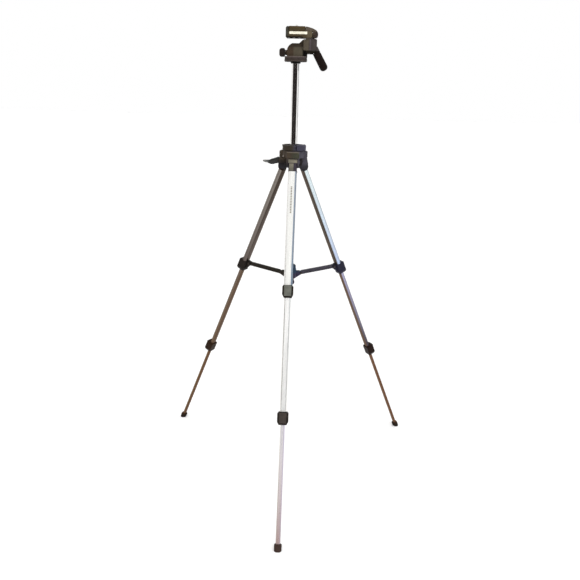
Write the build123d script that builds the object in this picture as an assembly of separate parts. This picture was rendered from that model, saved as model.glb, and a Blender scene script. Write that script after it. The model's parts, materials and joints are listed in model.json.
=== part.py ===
from build123d import *
import os
from math import cos, hypot, radians, sin, tan

os.makedirs("parts", exist_ok=True)

# A three-section camera tripod with a pan-and-tilt head, set up at full height.
# Millimetres. The column stands on the Z axis while the pieces are made; at the
# end everything is shifted so that the origin is the centre of the footprint.
# The front leg points to -Y and the head's handle to +X.

# stance
FOOT_RADIUS = 416.5
AXIS_Y = FOOT_RADIUS / 4
PIVOT_R = 23.0
PIVOT_Z = 894.4
LEAN = 23.76
LEGS = {"front_leg": 0, "left_leg": -120, "right_leg": 120}

# leg tubes: width across, depth front to back, corner radius, wall
UPPER = (22.5, 14.5, 6.0, 1.2)
MIDDLE = (16.8, 10.6, 4.4, 1.1)
LOWER = (11.6, 7.6, 3.2, 1.0)
UPPER_TOP, UPPER_END = -26.4, -341.6
MIDDLE_TOP, MIDDLE_END = -311.0, -659.6
LOWER_TOP, LOWER_END = -621.0, -970.0
UPPER_CLAMP_Z = -338.8
LOWER_CLAMP_Z = -656.8
# how far the middle section is pushed back in; the lower one is drawn out to make up for it
PUSHED_IN = {"front_leg": 0.0, "left_leg": 0.0, "right_leg": 11.0}

# clamps, about their own centres
CLAMP_W = 28.0
CLAMP_H = 32.4
CLAMP_IN = 9.4
CLAMP_OUT = 14.2
POCKET_HALF = 9.7
POCKET_FLOOR = 9.2
SPLIT = -3.0
LEVER_HALF = 9.4
LEVER_PIN_Y = -11.8
LEVER_PIN_Z = -9.8
TRUNNION_R = 1.6

# brace
BRACKET_Y = 16.0
BRACKET_Z = 14.0
BRACE_SLOPE = 3.1
HUB_R = 30.0
ARM_T = 5.4
ARM_H = 10.8
EYE_R = 4.6
CHEEK_GAP = 3.3
CHEEK_OUT = 6.6
PIN_R = 2.0
HUB_CORE_R = 15.5
HUB_SLOT_R = 3.5

# spider and column
CAP_BOTTOM, CAP_TOP = 904.0, 922.5
FORK_IN, FORK_OUT = 12.3, 16.8
CORE_R = 13.2
CORE_BOTTOM = 877.0
BORE_R = 11.0
COLUMN_R = 9.8
COLUMN_BOTTOM = 868.0
COLUMN_TOP = 1145.5
HINGE_PIN_R = 2.5
COLLAR_TOP = 936.5
LOCK_AZ = -65.0
LOCK_R, LOCK_Z = 38.0, 898.0

# head
BASE_Z = 1140.2
BASE_TOP = 1147.3
BASE_R = 28.7
TURN_Z = 1147.6
TURN_R = 28.1
TURN_H = 4.9
HOUSING_TOP = 1183.2
HOUSING_HALF = 17.5
TILT_X, TILT_Z = 31.0, 1173.0
BARREL_R = 13.6
BARREL_LOW = TILT_Z - BARREL_R
TONGUE_HALF = 15.0
ROOT_HALF = 9.0
BLOCK_HALF = 20.0
BLOCK_RIGHT = 51.8
BLOCK_BOTTOM, BLOCK_TOP = 1166.5, 1192.6
KNOB_Z = 1161.8
KNOB_R = 10.4
HANDLE_X, HANDLE_Z = 42.3, 1177.3
HANDLE_TILT = 30.0
HANDLE_R = 3.2
GRIP_R = 10.0
GRIP_START = 16.2
HANDLE_LENGTH = 64.6
PLATFORM_Z, PLATFORM_TOP = 1195.8, 1211.0
PLATFORM_HALF = 22.0
PLATE_TOP = 1218.4
PAD_TOP = 1222.0
SCREW_R = 3.175
SCREW_TOP = 1227.0
NOSE_X, NOSE_Z = 43.5, 1200.8
SCREW_X = 36.0

parts = {}


def keep(name, shape):
    parts[name] = shape


def rod(radius, start, end):
    """A cylinder from one point to another."""
    axis = Vector(*end) - Vector(*start)
    return Plane(origin=start, z_dir=axis) * extrude(Circle(radius), axis.length)


def cross_pin(radius, half, y, z):
    """A pin across a leg or a lever, along X."""
    return rod(radius, (-half, y, z), (half, y, z))


def plate_yz(outline, low, high):
    """An outline in the Y-Z plane, made solid from low to high along X."""
    return extrude(Plane(origin=(low, 0, 0), x_dir=(0, 1, 0), z_dir=(1, 0, 0)) * outline, high - low)


def plate_xz(outline, low, high):
    """An outline in the X-Z plane, made solid from low to high along Y."""
    return extrude(Plane(origin=(0, high, 0), x_dir=(1, 0, 0), z_dir=(0, -1, 0)) * outline, high - low)


def outline_of(*points):
    return make_face(Polyline(*points, close=True))


def turned(*points):
    """A solid of revolution about Z from (radius, height) points."""
    return revolve(Plane.XZ * outline_of(*points), Axis.Z)


def about(radius, y, z):
    """A circle in a Y-Z or X-Z outline."""
    return Pos(y, z) * Circle(radius)


def at_azimuth(angle):
    """Turn a piece made towards -Y round the column."""
    return Rot(0, 0, angle)


def in_leg(angle):
    """Where a leg hangs: made straight down from its pivot with its outer face to -Y."""
    return Rot(0, 0, angle) * Pos(0, -PIVOT_R, PIVOT_Z) * Rot(-LEAN, 0, 0)


def leg_point(y, z):
    """Radius and height of a point of a leg at rest."""
    a = radians(LEAN)
    return PIVOT_R - z * sin(a) - y * cos(a), PIVOT_Z + z * cos(a) - y * sin(a)


# Legs


def leg_tube(size, top, end):
    width, depth, corner, wall = size
    outside = RectangleRounded(width, depth, corner)
    inside = RectangleRounded(width - 2 * wall, depth - 2 * wall, corner - wall)
    return Pos(0, 0, end) * extrude(outside - inside, top - end)


def tube_bore(size, gap, low, high):
    width, depth, corner, _ = size
    return Pos(0, 0, low) * extrude(
        RectangleRounded(width + 2 * gap, depth + 2 * gap, corner + gap), high - low
    )


def hinge_block():
    """Barrel on the hinge pin, a neck as wide as the tube, and a plug in the tube."""
    barrel = rod(9.5, (-12, 0, 0), (12, 0, 0))
    barrel = chamfer(barrel.edges().filter_by(GeomType.CIRCLE), 0.8)
    neck = tube_bore(UPPER, 0, UPPER_TOP, -1)
    neck = neck + Pos(0, 0, -10) * Box(19, 15.4, 14)
    width, depth, corner, wall = UPPER
    plug = Pos(0, 0, UPPER_TOP - 15) * extrude(
        RectangleRounded(width - 2 * wall - 0.1, depth - 2 * wall - 0.1, corner - wall - 0.05), 16
    )
    return barrel + neck + plug - rod(HINGE_PIN_R + 0.06, (-20, 0, 0), (20, 0, 0))


def clamp_body(outer, inner, inner_face):
    """Sleeve fixed on the end of one tube in which the next slides; open in front for its lever."""
    half, side = CLAMP_H / 2, CLAMP_W / 2
    depth = inner_face + CLAMP_OUT
    block = Pos(0, (inner_face - CLAMP_OUT) / 2, -half) * extrude(
        RectangleRounded(CLAMP_W, depth, 3.0), CLAMP_H
    )
    front = outline_of((-side + 3.2, half), (side - 3.2, half), (side, half - 4.2), (side, 8.4 - half),
                       (side - 4.4, -half), (4.4 - side, -half), (-side, 8.4 - half), (-side, half - 4.2))
    edge = outline_of((-CLAMP_OUT + 1.2, half), (inner_face - 1.2, half), (inner_face, half - 1.2),
                      (inner_face, 1.6 - half), (inner_face - 1.6, -half), (2.8 - CLAMP_OUT, -half),
                      (-CLAMP_OUT, 5.0 - half), (-CLAMP_OUT, half - 1.2))
    block = block & plate_xz(front, -20, 20) & plate_yz(edge, -20, 20)
    pocket = Pos(0, -POCKET_FLOOR - 10, 0) * Box(2 * POCKET_HALF, 20, CLAMP_H + 10)
    block = block - pocket
    block = block - cross_pin(TRUNNION_R + 0.06, 10.9, LEVER_PIN_Y, LEVER_PIN_Z)
    block = block - tube_bore(outer, 0.02, SPLIT, half + 1)
    return block - tube_bore(inner, 0.08, -half - 1, SPLIT + 0.5)


def brace_bracket():
    """Two cheeks on the inner face of the upper clamp that hold the end of the brace arm."""
    outline = outline_of((8.8, 13.2), (13.0, 17.4), (18.0, 16.8), (20.2, 11.0), (8.8, -11.0))
    outline = outline + about(5.2, BRACKET_Y, BRACKET_Z)
    cheeks = plate_yz(outline, CHEEK_GAP, CHEEK_OUT) + plate_yz(outline, -CHEEK_OUT, -CHEEK_GAP)
    return cheeks - cross_pin(PIN_R + 0.02, 10, BRACKET_Y, BRACKET_Z)


def flip_lever():
    """Clamp lever on two moulded trunnions, with a finger lip at the top."""
    face = outline_of((-9.6, 14.4), (-14.8, 14.6), (-16.6, 12.8), (-15.6, 7.6), (-15.3, 0.0),
                      (-14.0, LEVER_PIN_Z), (-9.6, LEVER_PIN_Z))
    face = face + about(2.2, LEVER_PIN_Y, LEVER_PIN_Z)
    lever = plate_yz(face, -LEVER_HALF, LEVER_HALF)
    sides = [e for e in lever.edges() if abs(abs(e.center().X) - LEVER_HALF) < 0.01]
    lever = chamfer([e for e in sides if e.center().Y < -14.5], 1.2)
    return lever + cross_pin(TRUNNION_R, 10.6, LEVER_PIN_Y, LEVER_PIN_Z)


def rubber_foot():
    """Bulb pushed on the end of the lower tube, cut flat where it stands."""
    reach = PIVOT_Z / cos(radians(LEAN))
    bulb = Pos(0, 0, -reach - 5) * extrude(RectangleRounded(19.0, 16.0, 7.2), 20.5)
    bulb = fillet(bulb.faces().sort_by(Axis.Z)[0].edges(), 5.8)
    bulb = chamfer(bulb.faces().sort_by(Axis.Z)[-1].edges(), 1.4)
    bulb = bulb - tube_bore(LOWER, 0.02, LOWER_END, -900)
    return bulb - Pos(0, 0, -reach) * Rot(LEAN, 0, 0) * Pos(0, 0, -50) * Box(100, 100, 100)


def brace_arm():
    """Grooved bar from the bracket on the front leg to the hub, both ends eyes."""
    outer = leg_point(BRACKET_Y, UPPER_CLAMP_Z + BRACKET_Z)
    drop = (outer[0] - HUB_R) * tan(radians(BRACE_SLOPE))
    length = hypot(outer[0] - HUB_R, drop)
    bar = Pos(length / 2, 0) * Rectangle(length, ARM_H) + about(EYE_R, 0, 0)
    bar = bar - Pos(length, 0) * Rectangle(10, 20) + Pos(length - 5, 0) * Rectangle(10, 8.0)
    bar = bar + about(EYE_R, length, 0)
    bar = bar - about(PIN_R + 0.06, 0, 0) - about(PIN_R + 0.06, length, 0)
    arm = plate_yz(bar, -ARM_T / 2, ARM_T / 2)
    groove = Pos(length / 2, 0) * SlotOverall(length - 24, 5.0)
    for side in (-1, 1):
        low, high = sorted((side * (ARM_T / 2 - 1.1), side * (ARM_T / 2 + 1)))
        arm = arm - plate_yz(groove, low, high)
    return Pos(0, -outer[0], outer[1]) * Rot(-BRACE_SLOPE, 0, 0) * arm, outer[1] - drop


arm, HUB_Z = brace_arm()
upper_clamp = Pos(0, 0, UPPER_CLAMP_Z) * (clamp_body(UPPER, MIDDLE, CLAMP_IN) + brace_bracket())
lower_clamp = Pos(0, 0, LOWER_CLAMP_Z) * clamp_body(MIDDLE, LOWER, CLAMP_IN - 1.6)
lever = flip_lever()
bracket_z = UPPER_CLAMP_Z + BRACKET_Z
leg_pieces = {
    "hinge_block": hinge_block(),
    "upper_tube": leg_tube(UPPER, UPPER_TOP, UPPER_END),
    "upper_clamp": upper_clamp,
    "upper_lever": Pos(0, 0, UPPER_CLAMP_Z) * lever,
    "brace_pin": cross_pin(PIN_R, 7.4, BRACKET_Y, bracket_z),
    "middle_tube": leg_tube(MIDDLE, MIDDLE_TOP, MIDDLE_END),
    "lower_clamp": lower_clamp,
    "lower_lever": Pos(0, 0, LOWER_CLAMP_Z) * lever,
    "lower_tube": leg_tube(LOWER, LOWER_TOP, LOWER_END),
    "foot": rubber_foot(),
}
on_middle = ("middle_tube", "lower_clamp", "lower_lever")
for leg, angle in LEGS.items():
    for piece, shape in leg_pieces.items():
        along = PUSHED_IN[leg] if piece in on_middle else 0.0
        keep(f"{leg}_{piece}", in_leg(angle) * Pos(0, 0, along) * shape)
    keep(f"{leg}_brace_arm", at_azimuth(angle) * arm)


# Brace hub


def brace_hub():
    """Sleeve with three pairs of cheeks for the arms and a round boss below. The arms' ends
    swing in slots between the cheeks."""
    low, high = HUB_Z - 11.5, HUB_Z + 26.5
    hub = turned((0, low - 23), (5, low - 23), (10.8, low - 17), (11.8, low - 14), (11.8, low - 12),
                 (9.4, low - 5), (9.4, low - 2), (HUB_CORE_R - 1, low), (HUB_CORE_R, low + 1),
                 (HUB_CORE_R, high - 13), (HUB_CORE_R - 1.5, high - 2), (HUB_CORE_R - 3.5, high),
                 (9, high), (9, low + 4), (0, low + 4))
    lug = outline_of((-10, HUB_Z - 11), (-15.4, HUB_Z - 11), (-HUB_R, HUB_Z - 4.4), (-HUB_R, HUB_Z + 4.4),
                     (-20, HUB_Z + 5.4), (-15.5, HUB_Z + 10), (-10, HUB_Z + 10)) + about(4.4, -HUB_R, HUB_Z)
    hole = cross_pin(PIN_R + 0.02, 10, -HUB_R, HUB_Z)
    slot = outline_of((-40, low - 24), (-HUB_SLOT_R, low - 24), (-HUB_SLOT_R, low), (-10.5, low),
                      (-10.5, HUB_Z - 3), (-40, HUB_Z - 3))
    for angle in LEGS.values():
        hub = hub - at_azimuth(angle) * plate_yz(slot, -CHEEK_GAP, CHEEK_GAP)
        for low_x, high_x in ((-CHEEK_OUT, -CHEEK_GAP), (CHEEK_GAP, CHEEK_OUT)):
            hub = hub + at_azimuth(angle) * (plate_yz(lug, low_x, high_x) - hole)
    return hub


keep("brace_hub", brace_hub())
studs = Part()
for angle in LEGS.values():
    for side in (-1, 1):
        stud = rod(PIN_R, (side * CHEEK_GAP, -HUB_R, HUB_Z), (side * (CHEEK_OUT + 0.8), -HUB_R, HUB_Z))
        studs = studs + at_azimuth(angle) * stud
keep("hub_pins", studs)


# Spider and column


def lock_place():
    return at_azimuth(LOCK_AZ)


def spider():
    lobe = Pos(0, -16.5) * RectangleRounded(2 * FORK_OUT + 1, 33, 5)
    plan = Circle(28) + [Rot(0, 0, a) * lobe for a in LEGS.values()]
    cap = Pos(0, 0, CAP_BOTTOM) * extrude(plan, CAP_TOP - CAP_BOTTOM)
    cap = fillet(cap.faces().sort_by(Axis.Z)[-1].edges(), 3.0)
    body = cap + Pos(0, 0, CORE_BOTTOM) * extrude(Circle(CORE_R), CAP_BOTTOM + 1 - CORE_BOTTOM)
    low, high = CORE_BOTTOM, CAP_BOTTOM + 1
    cheek = outline_of((-5, low), (-21, low - 3.5), (-35, low - 2.5), (-36.6, low + 3), (-35.5, low + 13),
                       (-33.5, low + 21), (-32, high), (-5, high))
    notch = outline_of((0, low - 9), (-50, low - 9), (-50, low + 6), (-14, low + 6), (0, low))
    for angle in LEGS.values():
        for low_x, high_x in ((-FORK_OUT, -FORK_IN), (FORK_IN, FORK_OUT)):
            body = body + at_azimuth(angle) * plate_yz(cheek, low_x, high_x)
    for low_x, high_x in ((-FORK_OUT - 1, -FORK_IN), (FORK_IN, FORK_OUT + 1)):
        body = body - plate_yz(notch, low_x, high_x)
    ear = outline_of((-21.5, 890), (-30, 889.5), (-LOCK_R, LOCK_Z - 6), (-LOCK_R, LOCK_Z + 6),
                     (-27, high), (-21.5, high))
    ear = ear + about(6.0, -LOCK_R, LOCK_Z)
    body = body + lock_place() * (plate_yz(ear, 4.4, 8.6) + plate_yz(ear, -8.6, -4.4))
    body = body - lock_place() * cross_pin(PIN_R + 0.02, 20, -LOCK_R, LOCK_Z)
    body = body - lock_place() * rod(4.05, (0, 0, LOCK_Z), (0, -40, LOCK_Z))
    body = body - Pos(0, 0, 860) * extrude(Circle(BORE_R), 80)
    for angle in LEGS.values():
        body = body - at_azimuth(angle) * cross_pin(HINGE_PIN_R + 0.02, 25, -PIVOT_R, PIVOT_Z)
    return body


def column_lever():
    """Cam, arm and thumb blade; made towards -Y."""
    r, z = -LOCK_R, LOCK_Z
    arm_part = outline_of((r + 3, z - 5.6), (r - 24, z - 9.6), (r - 28, z - 8.0), (r - 27, z + 2.0),
                          (r - 3, z + 8.6))
    arm_part = arm_part + about(6.4, r, z)
    blade = outline_of((r - 20, z - 8.8), (r - 28, z - 8.4), (r - 36, z - 4.4), (r - 43.6, z - 3.4),
                       (r - 44.8, z - 1.2), (r - 43.6, z + 1.0), (r - 28, z + 0.6), (r - 17, z + 1),
                       (r - 13, z - 5))
    grip = plate_yz(blade, -8.5, 8.5)
    grip = fillet(grip.edges().filter_by(Axis.Z, tolerance=40).sort_by(Axis.Y)[:2], 1.0)
    shape = plate_yz(arm_part, -4.1, 4.1) + grip
    return shape - cross_pin(PIN_R + 0.06, 20, r, z)


def collar():
    low, high = CAP_TOP, COLLAR_TOP
    ring = turned((10.3, low), (26.4, low), (26.4, low + 1.2), (29.4, low + 1.8), (28.7, low + 6),
                  (28.9, low + 9), (30.0, high - 2.2), (30.0, high), (24.5, high), (23.0, high - 3),
                  (13.5, high - 4), (13.0, high - 1), (10.3, high - 1))
    lug = outline_of((24, low + 1.8), (32.4, low + 1.8), (32.8, low + 4), (32.8, high - 1.2),
                     (31.0, high + 0.8), (24, high + 0.8))
    lug = Rot(0, 0, -72) * revolve(Plane.XZ * lug, Axis.Z, revolution_arc=92)
    slit = Rot(0, 0, 15) * Pos(0, -28, low + 13) * Box(2.2, 23, 18)
    return ring + lug - slit


keep("spider", spider())
keep("column_collar", collar())
bush = Circle(BORE_R - 0.02) - Circle(COLUMN_R + 0.08)
bush = Pos(0, 0, CORE_BOTTOM) * extrude(bush, CAP_TOP - CORE_BOTTOM)
keep("column_bush", bush - lock_place() * rod(4.3, (0, 0, LOCK_Z), (0, -40, LOCK_Z)))
pins = Part()
for angle in LEGS.values():
    pins = pins + at_azimuth(angle) * cross_pin(HINGE_PIN_R, 17.6, -PIVOT_R, PIVOT_Z)
keep("leg_hinge_pins", pins)
keep("column_lever_pin", lock_place() * cross_pin(PIN_R, 9.2, -LOCK_R, LOCK_Z))
brake = rod(4.0, (0, -5, LOCK_Z), (0, 6.9 - LOCK_R, LOCK_Z))
keep("column_brake", lock_place() * (brake - Pos(0, 0, 880) * extrude(Circle(COLUMN_R + 0.3), 40)))
keep("column_lever", lock_place() * column_lever())

tube = Circle(COLUMN_R) - Circle(COLUMN_R - 1.2)
keep("column_tube", Pos(0, 0, COLUMN_BOTTOM) * extrude(tube, COLUMN_TOP - COLUMN_BOTTOM))
plug_r = COLUMN_R - 1.26
cap = turned((0, 861), (9.5, 861), (11.4, 863), (11.4, COLUMN_BOTTOM), (plug_r, COLUMN_BOTTOM),
             (plug_r, COLUMN_BOTTOM + 14), (0, COLUMN_BOTTOM + 14))
keep("column_end_cap", cap)


# Head


def pan_base():
    body = turned((0, BASE_Z - 4), (11.4, BASE_Z - 4), (12.2, BASE_Z - 3), (12.8, BASE_Z),
                  (BASE_R - 1.8, BASE_Z), (BASE_R, BASE_Z + 2.2), (BASE_R, BASE_TOP - 1.4),
                  (BASE_R - 1.2, BASE_TOP), (0, BASE_TOP))
    groove = Pos(0, 0, BASE_Z + 4.2) * extrude(Circle(BASE_R + 1) - Circle(BASE_R - 0.8), 1.0)
    socket = Pos(0, 0, BASE_Z - 10) * extrude(Circle(COLUMN_R + 0.02), COLUMN_TOP - BASE_Z + 10)
    return body - groove - socket - Pos(0, 0, BASE_Z) * extrude(Circle(4.02), 20)


def pan_body():
    turntable = Pos(0, 0, TURN_Z) * extrude(Circle(TURN_R), TURN_H)
    turntable = chamfer(turntable.edges().filter_by(GeomType.CIRCLE).sort_by(Axis.Z)[-1], 1.0)
    low, high = TURN_Z + 3, HOUSING_TOP
    side = make_face(
        Polyline((-8.5, high), (14.0, high), (14.0, 1171), (18.8, 1164), (18.8, low), (-22.0, low),
                 (-22.0, high - 16))
        + ThreePointArc((-22.0, high - 16), (-17.6, high - 6.2), (-8.5, high))
    )
    housing = plate_xz(side, -HOUSING_HALF, HOUSING_HALF)
    across = outline_of((-HOUSING_HALF, low), (HOUSING_HALF, low), (HOUSING_HALF, high - 1.6),
                        (HOUSING_HALF - 1.6, high), (1.6 - HOUSING_HALF, high), (-HOUSING_HALF, high - 1.6))
    housing = housing & plate_yz(across, -30, 30)
    housing = housing & Pos(-1.6, 0, low) * extrude(RectangleRounded(40.8, 2 * HOUSING_HALF, 2.4), 40)
    shoulder = outline_of((4, 1164), (TILT_X, 1164), (TILT_X, TILT_Z), (24, 1185.4), (18.4, 1191.2),
                          (16.8, 1191.6), (8.4, high + 0.5), (4, high - 1))
    shoulder = shoulder + about(BARREL_R, TILT_X, TILT_Z)
    root = outline_of((10, low), (28.4, low), (28.4, TILT_Z - BARREL_R + 1), (TILT_X, TILT_Z), (10, TILT_Z))
    boss = rod(6.3, (-26.8, 0, KNOB_Z), (-15, 0, KNOB_Z))
    body = turntable + housing + boss
    body = body + plate_xz(shoulder, -TONGUE_HALF, TONGUE_HALF) + plate_xz(root, -ROOT_HALF, ROOT_HALF)
    body = body - Pos(0, 0, TURN_Z - 5) * extrude(Circle(4.08), 40)
    body = body - Pos(0, 0, TURN_Z + 10) * extrude(Circle(7.6), 40)
    body = body - rod(3.06, (-40, 0, KNOB_Z), (-9.0, 0, KNOB_Z))
    return body - rod(3.56, (TILT_X, -20, TILT_Z), (TILT_X, 20, TILT_Z))


def handle_point(distance):
    """A point on the handle's axis, measured down from its socket."""
    a = radians(HANDLE_TILT)
    return HANDLE_X + distance * sin(a), 0, HANDLE_Z - distance * cos(a)


def tilt_block():
    low, half = BLOCK_BOTTOM, BLOCK_HALF
    side = outline_of((18.6, low + 2), (20.6, low), (23.5, low), (27.5, BARREL_LOW), (42.0, BARREL_LOW),
                      (46.0, low - 3), (BLOCK_RIGHT, low + 9), (BLOCK_RIGHT, BLOCK_TOP), (18.6, BLOCK_TOP))
    block = plate_xz(side, -half, half)
    bevel = outline_of((35, -half - 1), (35, -half), (53, -half + 6), (53, -half - 1))
    for flip in (0, 1):
        face = mirror(bevel, Plane.XZ) if flip else bevel
        block = block - Pos(0, 0, low - 5) * extrude(face, 40)
    rims = [e for e in block.edges() if abs(abs(e.center().Y) - half) < 0.01]
    block = chamfer([e for e in rims if e.center().X < 34], 1.0)
    neck = outline_of((23.6, BLOCK_TOP - 1), (50.2, BLOCK_TOP - 1), (50.2, BLOCK_TOP + 1.3),
                      (39.4, BLOCK_TOP + 1.3), (39.4, PLATFORM_Z), (23.6, PLATFORM_Z))
    neck = plate_xz(neck, 4 - PLATFORM_HALF, PLATFORM_HALF - 4)
    neck = neck & Pos(36.9, 0, low) * extrude(RectangleRounded(26.6, 2 * PLATFORM_HALF - 8, 3), 40)
    slot = outline_of((10, 1150), (45.0, 1150), (45.0, 1187.6), (30.5, 1187.6), (30.5, 1200), (10, 1200))
    block = block + neck - plate_xz(slot, -TONGUE_HALF - 0.4, TONGUE_HALF + 0.4)
    rib = outline_of((38, BLOCK_TOP - 1), (46.0, BLOCK_TOP - 1), (46.0, 1195.2), (45.0, 1196.2),
                     (39.4, 1196.2), (39.4, PLATFORM_Z - 0.6), (38, PLATFORM_Z - 0.6))
    block = block + plate_xz(rib, -8, 8)
    socket = rod(GRIP_R - 0.3, handle_point(5), handle_point(GRIP_START - 0.4)) - plate_xz(slot, -30, 30)
    block = block + socket
    block = block - rod(HANDLE_R + 0.06, handle_point(9.3), handle_point(20))
    block = block - rod(3.52, (TILT_X, -30, TILT_Z), (TILT_X, 30, TILT_Z))
    for y in (-11, 11):
        block = block - rod(2.02, (SCREW_X, y, 1189), (SCREW_X, y, 1200))
    return block


def pan_knob():
    knob = Plane(origin=(-27.4, 0, KNOB_Z), z_dir=(-1, 0, 0)) * extrude(Circle(KNOB_R), 14.2)
    knob = fillet(knob.edges().filter_by(GeomType.CIRCLE).sort_by(Axis.X)[0], 6.0)
    knob = fillet(knob.edges().filter_by(GeomType.CIRCLE).sort_by(Axis.X)[-1], 3.5)
    for i in range(12):
        y, z = (KNOB_R + 1) * cos(radians(30 * i)), KNOB_Z + (KNOB_R + 1) * sin(radians(30 * i))
        knob = knob - rod(1.5, (-45, y, z), (-20, y, z))
    return knob - rod(3.02, (-36, 0, KNOB_Z), (-20, 0, KNOB_Z))


def handle_grip():
    length = HANDLE_LENGTH - GRIP_START
    r = GRIP_R
    profile = make_face(
        Polyline((0, 0), (r - 1.0, 0), (r - 0.3, 0.7), (r - 0.3, 3.0), (r - 0.9, 3.6), (r - 0.9, 4.8),
                 (r - 0.3, 5.4), (r + 0.1, length - 8.5))
        + ThreePointArc((r + 0.1, length - 8.5), (r - 2.2, length - 2.8), (2.0, length))
        + Polyline((2.0, length), (0, length), (0, 0))
    )
    solid = revolve(Plane.XZ * profile, Axis.Z)
    along = Vector(*handle_point(1)) - Vector(*handle_point(0))
    grip = Plane(origin=handle_point(GRIP_START), x_dir=(0, 1, 0), z_dir=along) * solid
    return grip - rod(HANDLE_R + 0.02, handle_point(5), handle_point(45))


def platform():
    body = extrude(RectangleRounded(65, 2 * PLATFORM_HALF, 3), PLATFORM_TOP - PLATFORM_Z)
    body = Pos(6.7, 0, PLATFORM_Z) * body
    body = chamfer(body.faces().sort_by(Axis.Z)[0].edges(), 2.0)
    low, high = PLATFORM_Z + 6, PLATE_TOP + 3.2
    wall = make_face(
        Polyline((-20.8, high), (-18.8, high), (-18.8, low), (-25.8, low), (-25.8, high - 5))
        + ThreePointArc((-25.8, high - 5), (-24.3, high - 1.5), (-20.8, high))
    )
    wall = plate_xz(wall, -PLATFORM_HALF, PLATFORM_HALF)
    wall = wall & Pos(-22.3, 0, low) * extrude(RectangleRounded(7.0, 2 * PLATFORM_HALF, 2.6), 30)
    tongue = outline_of((30, NOSE_Z - 3), (NOSE_X, NOSE_Z - 4), (NOSE_X, NOSE_Z + 4),
                        (41.5, NOSE_Z + 7.6), (30, NOSE_Z + 9))
    body = body + wall + plate_xz(tongue + about(4, NOSE_X, NOSE_Z), -8, 8)
    body = body - Pos(2, 0, 1204.2) * extrude(RectangleRounded(32.6, 34.6, 2), 20)
    body = body - rod(2.02, (NOSE_X, -10, NOSE_Z), (NOSE_X, 10, NOSE_Z))
    for y in (-11, 11):
        body = body - rod(2.02, (SCREW_X, y, 1189), (SCREW_X, y, 1201))
    for x in (-12, 1, 14):
        body = body - Pos(x, 0, PLATFORM_Z) * Box(9, 31.4, 5)
    return body


def plate_lever():
    """Rounded nose at the end of the platform: lifting it frees the plate."""
    side = make_face(
        Polyline((40.8, 1197.4), (50.0, 1197.4), (52.6, 1199.6), (54.0, 1203.4))
        + ThreePointArc((54.0, 1203.4), (52.0, 1210.2), (46.4, 1214.8))
        + Polyline((46.4, 1214.8), (41.0, 1217.4), (33.0, 1219.8), (24.4, 1221.6), (23.2, 1220.6),
                   (23.2, 1211.4), (40.8, 1211.4), (40.8, 1197.4))
    )
    plan = Pos(34.0, 0) * RectangleRounded(40, 2 * PLATFORM_HALF - 1.2, 4.5)
    nose = plate_xz(side, -PLATFORM_HALF, PLATFORM_HALF) & Pos(0, 0, 1190) * extrude(plan, 40)
    slot = Pos(43.5, 0, NOSE_Z) * Box(11, 16.8, 18.4)
    return nose - slot - rod(2.06, (NOSE_X, -30, NOSE_Z), (NOSE_X, 30, NOSE_Z))


def release_plate():
    low = PLATFORM_TOP + 0.1
    top = Pos(2, 0, low) * extrude(RectangleRounded(40.8, 42, 3), PLATE_TOP - low)
    top = chamfer(top.faces().sort_by(Axis.Z)[0].edges(), 0.5)
    foot = Pos(2, 0, 1204.6) * extrude(RectangleRounded(32, 34, 2), 10)
    plate = top + foot - Pos(0, 0, 1200) * extrude(Circle(8.4), 11.2)
    return plate - Pos(0, 0, 1200) * extrude(Circle(SCREW_R + 0.2), 30)


keep("pan_base", pan_base())
bolt_head = Pos(0, 0, TURN_Z + 10.3) * extrude(RegularPolygon(7.0, 6), 5)
keep("pan_bolt", bolt_head + rod(4.0, (0, 0, COLUMN_TOP), (0, 0, TURN_Z + 11)))
keep("pan_body", pan_body())
keep("pan_knob", pan_knob())
keep("pan_knob_screw", rod(3.0, (-36, 0, KNOB_Z), (-9.6, 0, KNOB_Z)))
keep("tilt_block", tilt_block())
keep("tilt_pin", rod(3.5, (TILT_X, -BLOCK_HALF, TILT_Z), (TILT_X, BLOCK_HALF, TILT_Z)))
keep("handle_rod", rod(HANDLE_R, handle_point(9.6), handle_point(45)))
keep("handle_grip", handle_grip())
keep("platform", platform())
screws = [rod(2.0, (SCREW_X, y, 1189), (SCREW_X, y, 1201)) for y in (-11, 11)]
keep("platform_screws", screws[0] + screws[1])
keep("plate_lever", plate_lever())
keep("plate_lever_pin", rod(2.0, (NOSE_X, -21, NOSE_Z), (NOSE_X, 21, NOSE_Z)))
keep("release_plate", release_plate())
pad = Pos(2, 0, PLATE_TOP) * extrude(RectangleRounded(40.8, 42, 3), PAD_TOP - PLATE_TOP)
pad = chamfer(pad.faces().sort_by(Axis.Z)[-1].edges(), 0.8)
keep("plate_pad", pad - Pos(0, 0, PLATE_TOP - 5) * extrude(Circle(4.2), 20))
screw = turned((0, 1205.4), (8.0, 1205.4), (8.0, 1210.6), (2.6, 1210.6), (2.6, PAD_TOP + 0.2),
               (SCREW_R, PAD_TOP + 0.2), (SCREW_R, SCREW_TOP - 0.6), (SCREW_R - 0.6, SCREW_TOP),
               (0, SCREW_TOP))
keep("camera_screw", screw - Pos(0, 0, 1205) * Box(1.6, 20, 3))

for name, shape in parts.items():
    export_step(Pos(0, AXIS_Y, 0) * shape, f"parts/{name}.step")
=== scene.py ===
import json
from math import cos, pi, radians, sin

import bmesh
import bpy
from mathutils import Matrix, Vector


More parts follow.
